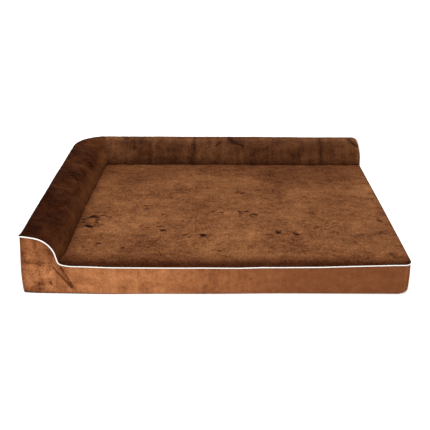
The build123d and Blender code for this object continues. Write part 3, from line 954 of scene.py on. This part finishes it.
# ---------------------------------------------------------------- materials
class Graph:
    """A node material built in a few words."""

    def __init__(self, name):
        self.material = bpy.data.materials.new(name)
        self.material.use_nodes = True
        self.nodes = self.material.node_tree.nodes
        self.links = self.material.node_tree.links
        self.nodes.clear()
        self.shader = self.nodes.new("ShaderNodeBsdfPrincipled")
        out = self.nodes.new("ShaderNodeOutputMaterial")
        self.links.new(self.shader.outputs["BSDF"], out.inputs["Surface"])
        self.where = self.nodes.new("ShaderNodeTexCoord").outputs["Object"]

    def put(self, socket, value):
        if isinstance(value, bpy.types.NodeSocket):
            self.links.new(value, socket)
        else:
            socket.default_value = value

    def set(self, **values):
        for name, value in values.items():
            self.put(self.shader.inputs[name.replace("_", " ")], value)

    def math(self, operation, a, b=0.0, clamp=False):
        node = self.nodes.new("ShaderNodeMath")
        node.operation = operation
        node.use_clamp = clamp
        self.put(node.inputs[0], a)
        self.put(node.inputs[1], b)
        return node.outputs[0]

    def stretch(self, scale, turn=(0, 0, 0), shift=(0, 0, 0), source=None):
        node = self.nodes.new("ShaderNodeMapping")
        node.inputs["Scale"].default_value = scale
        node.inputs["Rotation"].default_value = turn
        node.inputs["Location"].default_value = shift
        self.links.new(source or self.where, node.inputs["Vector"])
        return node.outputs[0]

    def noise(self, vector, scale=1.0, detail=2.0, rough=0.5, distortion=0.0):
        node = self.nodes.new("ShaderNodeTexNoise")
        node.inputs["Scale"].default_value = scale
        node.inputs["Detail"].default_value = detail
        node.inputs["Roughness"].default_value = rough
        node.inputs["Distortion"].default_value = distortion
        self.links.new(vector, node.inputs["Vector"])
        return node.outputs["Fac"]

    def span(self, value, low, high, to_low=0.0, to_high=1.0, smoothly=True):
        node = self.nodes.new("ShaderNodeMapRange")
        node.interpolation_type = "SMOOTHSTEP" if smoothly else "LINEAR"
        self.put(node.inputs["Value"], value)
        for name, number in (
            ("From Min", low),
            ("From Max", high),
            ("To Min", to_low),
            ("To Max", to_high),
        ):
            node.inputs[name].default_value = number
        return node.outputs[0]

    def mix(self, share, a, b, how="MIX"):
        node = self.nodes.new("ShaderNodeMix")
        node.data_type = "RGBA"
        node.blend_type = how
        self.put(node.inputs["Factor"], share)
        self.put(node.inputs[6], a)
        self.put(node.inputs[7], b)
        return node.outputs[2]

    def scaled(self, value, size):
        """Noise turned into a swing about zero."""
        return self.math("MULTIPLY", self.math("SUBTRACT", value, 0.5), size)

    def attribute(self, name):
        node = self.nodes.new("ShaderNodeAttribute")
        node.attribute_name = name
        return node.outputs["Fac"]

    def bump(self, height, strength, distance, under=None):
        node = self.nodes.new("ShaderNodeBump")
        node.inputs["Strength"].default_value = strength
        node.inputs["Distance"].default_value = distance
        self.links.new(height, node.inputs["Height"])
        if under is not None:
            self.links.new(under, node.inputs["Normal"])
        return node.outputs[0]


WARP_SCALE = 24.0
WARP_REACH = 0.022
CRUSH_PULL = 0.24
LINE_FROM, LINE_TO = 0.60, 0.82
LINE_DEPTH = 0.56
LINE_WOBBLE = 0.60


def plush(name, body, lay, dash_size, swing, mark_level, mark_depth, sheen=0.04, gloss=0.06):
    """Short-pile plush: brushed patches, streaks along the lay, trodden marks and fine pile."""
    g = Graph(name)
    warp = g.nodes.new("ShaderNodeTexNoise")
    warp.inputs["Scale"].default_value = WARP_SCALE
    g.links.new(g.where, warp.inputs["Vector"])
    push = g.nodes.new("ShaderNodeVectorMath")
    push.operation = "MULTIPLY_ADD"
    push.inputs[1].default_value = (WARP_REACH, WARP_REACH, WARP_REACH)
    g.links.new(warp.outputs["Color"], push.inputs[0])
    g.links.new(g.where, push.inputs[2])
    bent = push.outputs[0]
    large = g.noise(g.stretch((6.5, 9.0, 9.0)), 1.0, 3.0, 0.55, 0.4)
    cloud = g.noise(g.stretch((30, 42, 42), shift=(3, 1, 2), source=bent), 1.0, 4.0, 0.65)
    stroke = g.noise(g.stretch(lay, shift=(5, 2, 7), source=bent), 1.0, 3.0, 0.6)
    flecks = g.noise(g.stretch((150, 150, 190), shift=(2, 6, 5), source=bent), 1.0, 3.0, 0.6)
    pile = g.noise(g.where, 520.0, 2.0, 0.6)
    total = g.scaled(large, swing[0])
    for noise, size in zip((cloud, stroke, flecks, pile), swing[1:]):
        total = g.math("ADD", total, g.scaled(noise, size))
    tone = g.math("ADD", 1.0, g.math("MULTIPLY", total, g.attribute("wear")))
    crush = g.attribute("crush")
    grain = g.noise(g.stretch(dash_size, shift=(9, 4, 1), source=bent), 1.0, 2.5, 0.6)
    cluster = g.scaled(g.noise(g.stretch((9, 12, 12), shift=(1, 8, 3)), 1.0, 2.0, 0.5), 0.45)
    raised = g.math("ADD", g.math("ADD", grain, cluster), g.math("MULTIPLY", crush, CRUSH_PULL))
    dash = g.span(raised, mark_level, mark_level + 0.08)
    depth = g.math("ADD", 0.45 * mark_depth, g.math("MULTIPLY", crush, 0.55 * mark_depth))
    tone = g.math("MULTIPLY", tone, g.math("SUBTRACT", 1.0, g.math("MULTIPLY", dash, depth)))
    wobble = g.math("ADD", g.scaled(flecks, LINE_WOBBLE), g.scaled(grain, LINE_WOBBLE))
    fine = g.span(g.math("ADD", g.attribute("line"), wobble), LINE_FROM, LINE_TO)
    kept = g.math("SUBTRACT", 1.0, g.math("MULTIPLY", fine, LINE_DEPTH))
    tone = g.math("MULTIPLY", tone, kept)
    # the tone attribute brings in each piece's pile patches and its painted shade and highlight
    tone = g.math("MULTIPLY", tone, g.attribute("tone"))
    tone = g.math("MAXIMUM", tone, 0.02)
    mixed = g.nodes.new("ShaderNodeCombineColor")
    for socket, level, power in zip(mixed.inputs[:3], body, (1.0, 1.22, 1.32)):
        g.links.new(g.math("MULTIPLY", g.math("POWER", tone, power), level), socket)
    coarse = g.bump(g.math("SUBTRACT", cloud, dash), 0.35, 0.0016)
    normal = g.bump(g.math("ADD", pile, flecks), 0.40, 0.0006, coarse)
    g.set(Base_Color=mixed.outputs[0], Roughness=0.92, Normal=normal)
    g.set(Sheen_Weight=sheen, Sheen_Roughness=0.45, Sheen_Tint=(0.70, 0.40, 0.24, 1.0))
    g.shader.inputs["Specular IOR Level"].default_value = gloss
    return g.material


def woven(name, first, second, pitch, roughness=0.8, depth=0.0003):
    """Plain cloth with warp and weft."""
    g = Graph(name)
    warp = g.nodes.new("ShaderNodeTexWave")
    warp.bands_direction = "X"
    warp.inputs["Scale"].default_value = 0.5 / pitch
    g.links.new(g.stretch((1, 1, 1), (0, 0, 0.785)), warp.inputs["Vector"])
    weft = g.nodes.new("ShaderNodeTexWave")
    weft.bands_direction = "Z"
    weft.inputs["Scale"].default_value = 0.5 / pitch
    g.links.new(g.where, weft.inputs["Vector"])
    weave = g.math("MULTIPLY", warp.outputs["Fac"], weft.outputs["Fac"])
    cloud = g.noise(g.where, 60.0, 3.0, 0.6)
    colour = g.mix(g.math("MULTIPLY", g.math("ADD", weave, cloud), 0.5), first, second)
    g.set(Base_Color=colour, Roughness=roughness, Normal=g.bump(weave, 0.5, depth))
    g.set(Sheen_Weight=0.1)
    return g.material


def foam(name, first, second):
    g = Graph(name)
    cells = g.nodes.new("ShaderNodeTexVoronoi")
    cells.inputs["Scale"].default_value = 900
    g.links.new(g.where, cells.inputs["Vector"])
    cloud = g.noise(g.where, 12.0, 3.0, 0.5)
    colour = g.mix(g.math("MULTIPLY", cells.outputs["Distance"], cloud), first, second)
    g.set(Base_Color=colour, Roughness=0.95, Normal=g.bump(cells.outputs["Distance"], 0.5, 0.0005))
    return g.material


def metal(name, colour, worn, roughness):
    g = Graph(name)
    wear = g.noise(g.where, 420.0, 3.0, 0.6)
    brushed = g.noise(g.stretch((300, 2600, 2600)), 1.0, 2.0, 0.5)
    shade = g.mix(g.span(wear, 0.52, 0.72), colour, worn)
    g.set(Base_Color=shade, Metallic=1.0)
    g.set(Roughness=g.span(brushed, 0.3, 0.7, roughness - 0.08, roughness + 0.1, False))
    g.set(Normal=g.bump(brushed, 0.12, 0.0001))
    return g.material


def nylon(name, first, second):
    g = Graph(name)
    speck = g.noise(g.where, 900.0, 2.0, 0.5)
    g.set(Base_Color=g.mix(speck, first, second), Roughness=0.42)
    g.set(Normal=g.bump(speck, 0.15, 0.0001))
    return g.material


def dye(r, g, b, gain=1.0):
    """Linear colour from the usual 0-255 values."""
    line = [(c / 255 / 12.92 if c < 11 else ((c / 255 + 0.055) / 1.055) ** 2.4) for c in (r, g, b)]
    return tuple(c * gain for c in line) + (1.0,)


def cloth_materials():
    """Each swing: broad patches, clouds, strokes along the lay, flecks, and single tufts."""
    return {
        "sleep": plush(
            "sleep_plush",
            (0.1580, 0.0585, 0.0212),
            lay=(22, 60, 60),
            dash_size=(55, 85, 85),
            swing=(1.5, 1.3, 0.6, 2.0, 2.0),
            mark_level=0.675,
            mark_depth=0.85,
            sheen=0.02,
            gloss=0.03,
        ),
        "border": plush(
            "border_plush",
            (0.3180, 0.1190, 0.0440),
            lay=(80, 80, 16),
            dash_size=(60, 60, 60),
            swing=(0.5, 1.3, 0.7, 0.8, 0.9),
            mark_level=0.72,
            mark_depth=0.6,
        ),
        "side": plush(
            "side_bolster_plush",
            (0.0660, 0.0200, 0.0062),
            lay=(20, 90, 70),
            dash_size=(45, 70, 70),
            swing=(2.2, 2.6, 0.7, 2.2, 2.2),
            mark_level=0.68,
            mark_depth=0.5,
            sheen=0.0,
            gloss=0.02,
        ),
        "back": plush(
            "back_bolster_plush",
            (0.0830, 0.0285, 0.0098),
            lay=(50, 9, 9),
            dash_size=(50, 50, 50),
            swing=(1.3, 1.2, 1.5, 1.6, 2.0),
            mark_level=0.72,
            mark_depth=0.5,
            sheen=0.02,
        ),
    }


def settle(obj, material, slot, *replaced):
    """Gives a piece its material, and its place on the frame."""
    obj.data.materials.append(material)
    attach(obj, "root")
    if replaced:
        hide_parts(*replaced)


def finish_soft(obj, replaced, slot, material):
    thicken(obj)
    subdivide(obj)
    settle(obj, material, slot, *replaced)


PLUSH = cloth_materials()
make_borders()
make_sleep_panel()
build_side_bolster()
build_back_bolster()


def make_bottom():
    """Grip cloth sewn to the borders' hems and stretched flat between them."""
    drawn_in, _, lift = hem_shape(SEAM)
    low = np.full(len(SEAM), FLOOR_GAP) + lift
    grow = wall_offset(SEAM, OUTWARD, low / SEAM[:, 2], low) - drawn_in
    rings = []
    for inward, down in ((-0.0020, 0.0004), (0.0040, 0.0005)):
        ring = SEAM[:, :2] + OUTWARD[:, :2] * (grow - inward)[:, None]
        rings.append(np.column_stack([ring, low - down]))
    middle = np.array([0.0, 0.0, BOTTOM_Z])
    for share in (0.97, 0.85, 0.7, 0.55, 0.4, 0.25, 0.12, 0.04):
        inner = middle + (rings[1] - middle) * share
        inner[:, 2] = BOTTOM_Z
        rings.append(inner)
    count = len(SEAM)
    faces = ring_faces(len(rings), count, flip=True)
    last = (len(rings) - 1) * count
    hub = len(rings) * count
    faces += [(last + k, hub, last + (k + 1) % count) for k in range(count)]
    cloth = mesh_object("bottom_grip_cloth", np.vstack(rings + [middle]), faces)
    solid = cloth.modifiers.new("thickness", "SOLIDIFY")
    solid.thickness = 0.0003
    solid.offset = -1.0
    dots = make_dots()
    settle(cloth, MATERIAL["grip"], "grip_cloth", "bottom_panel")
    settle(dots, MATERIAL["dots"], "grip_cloth", "bottom_panel")


def make_dots():
    """Moulded dots on the grip cloth, which the bed stands on."""
    pitch, radius, sides = 0.034, 0.0038, 10
    across = int((HALF_X - 0.05) / pitch)
    along = int((HALF_Y - 0.05) / pitch)
    points, faces = [], []
    for i in range(-across, across + 1):
        for j in range(-along, along + 1):
            x, y = i * pitch + 0.5 * pitch * (j % 2), j * pitch
            if x > HALF_X - 0.05 or (x < SPLIT_X and y > HALF_Y - TURN_R):
                continue
            start = len(points)
            for level, size in ((BOTTOM_Z + 0.0001, 1.0), (0.0002, 0.8), (0.0, 0.45)):
                for k in range(sides):
                    a = 2 * math.pi * k / sides
                    spot = (x + size * radius * math.cos(a), y + size * radius * math.sin(a), level)
                    points.append(spot)
            faces += ring_faces(3, sides, start, flip=True)
            faces.append(tuple(start + 2 * sides + k for k in range(sides))[::-1])
    return mesh_object("bottom_grip_dots", np.array(points), faces)


# ---------------------------------------------------------------- zipper, label and stitches
TAPE_OUT_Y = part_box("zipper_tape_upper")[1].y


def make_coils():
    """Each row is one nylon coil, the two half a pitch apart so that they mesh."""
    pitch, samples, wire = 0.0024, 8, 0.00034
    for name, side, phase in (("upper", 1, 0.0), ("lower", -1, 0.5)):
        low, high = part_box("zipper_coil_" + name)
        reach_y = 0.5 * (high.y - low.y) - wire
        reach_z = 0.5 * (high.z - low.z) - wire
        middle = (0.5 * (low.y + high.y), 0.5 * (low.z + high.z))
        turns = int((high.x - low.x) / pitch) - 1
        t = np.arange(turns * samples + 1) / samples
        a = 2 * math.pi * t * side
        x = low.x + pitch * (t + 0.4 + phase)
        y, z = middle[0] + reach_y * np.cos(a), middle[1] + reach_z * np.sin(a)
        coil = tube("zipper_coil_turns_" + name, np.stack([x, y, z], axis=1), wire, sides=5)
        settle(coil, MATERIAL["coil"], "zipper_coil", "zipper_coil_" + name)


def flat_cloth(name, grid, thickness):
    """A thin woven piece from a grid of points."""
    made = sheet_from_grid(name, grid)
    solid = made.modifiers.new("thickness", "SOLIDIFY")
    solid.thickness = thickness
    solid.offset = -1.0
    return made


def make_tapes():
    for name in ("upper", "lower"):
        low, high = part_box("zipper_tape_" + name)
        xs = np.linspace(high.x, low.x, 160)
        zs = np.linspace(low.z, high.z, 6)
        x, z = np.meshgrid(xs, zs)
        flat = np.column_stack([x.ravel(), np.zeros(x.size), z.ravel()])
        y = TAPE_OUT_Y - 0.0001 + 0.0001 * wander(flat, 60.0, 71).reshape(x.shape)
        tape = flat_cloth("zipper_tape_cloth_" + name, np.stack([x, y, z], axis=2), 0.0005)
        settle(tape, MATERIAL["tape"], "zipper_tape", "zipper_tape_" + name)


def make_label():
    """A blank woven tab, sewn along its upper edge and a little proud below."""
    low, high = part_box("care_label")
    xs = np.linspace(high.x, low.x, 15)
    zs = np.linspace(low.z, high.z, 21)
    x, z = np.meshgrid(xs, zs)
    free = smooth(high.z - 0.006, low.z, z)
    side = (x - low.x) / (high.x - low.x)
    y = low.y + 0.0011 + 0.0014 * free**2 + 0.0008 * free * np.sin(math.pi * side)
    label = flat_cloth("care_label_cloth", np.stack([x, y, z], axis=2), 0.0004)
    subdivide(label)
    settle(label, MATERIAL["label"], "label_cloth", "care_label")


def stitch_row(name, line, outward, length=0.0032, gap=0.0016, radius=0.0004):
    """A row of short thread stitches along a line of points, lying on the cloth."""
    line = evenly(np.array(line), length + gap)
    points, faces = [], []
    sides = 6
    for a, b in zip(line[:-1], line[1:]):
        run = (b - a) / np.linalg.norm(b - a)
        across = np.cross(run, outward)
        across /= np.linalg.norm(across)
        start = len(points)
        for share, size in ((0.0, 0.35), (0.15, 0.9), (0.5, 1.1), (0.85, 0.9), (1.0, 0.35)):
            middle = a + run * length * share
            for k in range(sides):
                angle = 2 * math.pi * k / sides
                up = radius * size * math.sin(angle) * outward
                points.append(middle + radius * size * math.cos(angle) * across + up)
        faces += ring_faces(5, sides, start)
        faces.append(tuple(start + k for k in range(sides))[::-1])
        faces.append(tuple(start + 4 * sides + k for k in range(sides)))
    made = mesh_object(name, np.array(points), faces)
    settle(made, MATERIAL["thread"], "border_plush")


def make_stitches():
    out = np.array([0.0, 1.0, 0.0])
    y = HALF_Y - 0.0002
    for name, side in (("above", 1), ("below", -1)):
        z = ZIP_Z + side * (ZIP_HALF + 0.0035)
        ends = [(ZIP_X0 + 0.004, y, z), (ZIP_X1 - 0.004, y, z)]
        stitch_row("zipper_stitches_" + name, fill_runs(np.array(ends), 0.01), out)
    low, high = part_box("care_label")
    z = high.z - 0.0025
    ends = [(low.x + 0.001, low.y + 0.0012, z), (high.x - 0.001, low.y + 0.0012, z)]
    stitch_row("label_stitches", fill_runs(np.array(ends), 0.01), out, 0.0024, 0.0010, 0.0003)


# ---------------------------------------------------------------- piping
def make_piping():
    start = nearest_column(0.06, HALF_Y)
    line = np.vstack([SEAM[start:], SEAM[: start + 1]])
    out = np.vstack([OUTWARD[start:], OUTWARD[: start + 1]])
    line = evenly(line + out * 0.0002, 0.004)
    sleeve = tube("piping_sleeve_cloth", line, 0.0017, sides=12)
    settle(sleeve, MATERIAL["piping"], "piping_white", "piping_sleeve")
    cord = tube("piping_filler", line, 0.0012, sides=8)
    settle(cord, MATERIAL["filler"], "filler_cord", "piping_cord")


MATERIAL = {
    "piping": woven("piping_white", dye(236, 232, 226), dye(250, 248, 244), 0.0008),
    "filler": woven("filler_cord", dye(214, 208, 196), dye(232, 228, 220), 0.0012),
    "grip": woven("grip_cloth", dye(42, 32, 26), dye(62, 50, 42), 0.0012),
    "thread": nylon("sewing_thread", dye(96, 58, 36), dye(122, 78, 50)),
    "dots": nylon("grip_dots", dye(84, 76, 68), dye(104, 96, 88)),
    "tape": woven("zipper_tape", dye(70, 46, 32), dye(92, 62, 44), 0.0009),
    "label": woven("label_cloth", dye(226, 223, 216), dye(240, 238, 232), 0.0005),
    "lining": woven("lining_cloth", dye(96, 72, 56), dye(120, 92, 72), 0.0012),
    "liner": woven("liner_cloth", dye(206, 208, 210), dye(226, 228, 230), 0.0010, 0.45),
    "foam": foam("base_foam", dye(196, 194, 178), dye(226, 222, 204)),
    "topper": foam("topper_foam", dye(222, 214, 178), dye(240, 232, 200)),
    "metal": metal("zipper_metal", dye(96, 72, 52), dye(150, 118, 90), 0.34),
    "coil": nylon("zipper_coil", dye(74, 46, 30), dye(92, 60, 40)),
}
make_piping()
make_bottom()
make_coils()
make_tapes()
make_label()
make_stitches()

CARRIED = {
    "support_foam": "foam",
    "memory_foam_topper": "topper",
    "mattress_liner": "liner",
    "side_bolster_foam": "foam",
    "back_bolster_foam": "foam",
    "bolster_pocket_lining": "lining",
    "zipper_stops": "metal",
    "zipper_slider": "metal",
    "zipper_pull": "metal",
}
for node, key in CARRIED.items():
    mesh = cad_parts[node].data
    mesh.materials.clear()
    mesh.materials.append(MATERIAL[key])


# ---------------------------------------------------------------- floor, light, camera
def make_stage():
    bpy.ops.mesh.primitive_plane_add(size=14.0, location=(0, 0, 0))
    floor = bpy.context.object
    floor.name = "floor"
    g = Graph("pale_floor")
    cloud = g.noise(g.where, 0.8, 2.0, 0.5)
    g.set(Base_Color=g.mix(cloud, (0.78, 0.78, 0.78, 1), (0.80, 0.80, 0.80, 1)), Roughness=0.9)
    g.set(Emission_Color=(1, 1, 1, 1), Emission_Strength=0.42)
    g.shader.inputs["Specular IOR Level"].default_value = 0.0
    floor.data.materials.append(g.material)
    world = bpy.data.worlds.new("studio")
    bpy.context.scene.world = world
    world.use_nodes = True
    world.node_tree.nodes["Background"].inputs["Color"].default_value = (1, 1, 1, 1)
    world.node_tree.nodes["Background"].inputs["Strength"].default_value = 0.95


def area_light(name, place, target, size, power):
    data = bpy.data.lights.new(name, "AREA")
    data.shape = "RECTANGLE"
    data.size, data.size_y = size
    data.energy = power
    light = bpy.data.objects.new(name, data)
    light.location = place
    light.rotation_euler = (Vector(target) - Vector(place)).to_track_quat("-Z", "Y").to_euler()
    bpy.context.scene.collection.objects.link(light)


LENS_MM = 55.9
SENSOR_MM = 36.0
CAMERA_PLACE = (0.008, -HALF_Y - 1.653, 1.0206)
LOOK_DOWN = 24.983
LOOK_LEFT = 0.43


def make_camera():
    data = bpy.data.cameras.new("camera")
    data.sensor_width = SENSOR_MM
    data.lens = LENS_MM
    camera = bpy.data.objects.new("camera", data)
    camera.location = CAMERA_PLACE
    camera.rotation_euler = (math.radians(90 - LOOK_DOWN), 0, math.radians(LOOK_LEFT))
    bpy.context.scene.collection.objects.link(camera)
    bpy.context.scene.camera = camera


make_stage()
area_light("overhead", (-0.4, -0.3, 2.6), (0, 0.1, 0), (2.6, 2.2), 38)
area_light("front_fill", (0.2, -3.2, 1.4), (0, 0, 0.1), (2.4, 1.4), 16)
make_camera()
bpy.context.scene.view_settings.view_transform = "Standard"
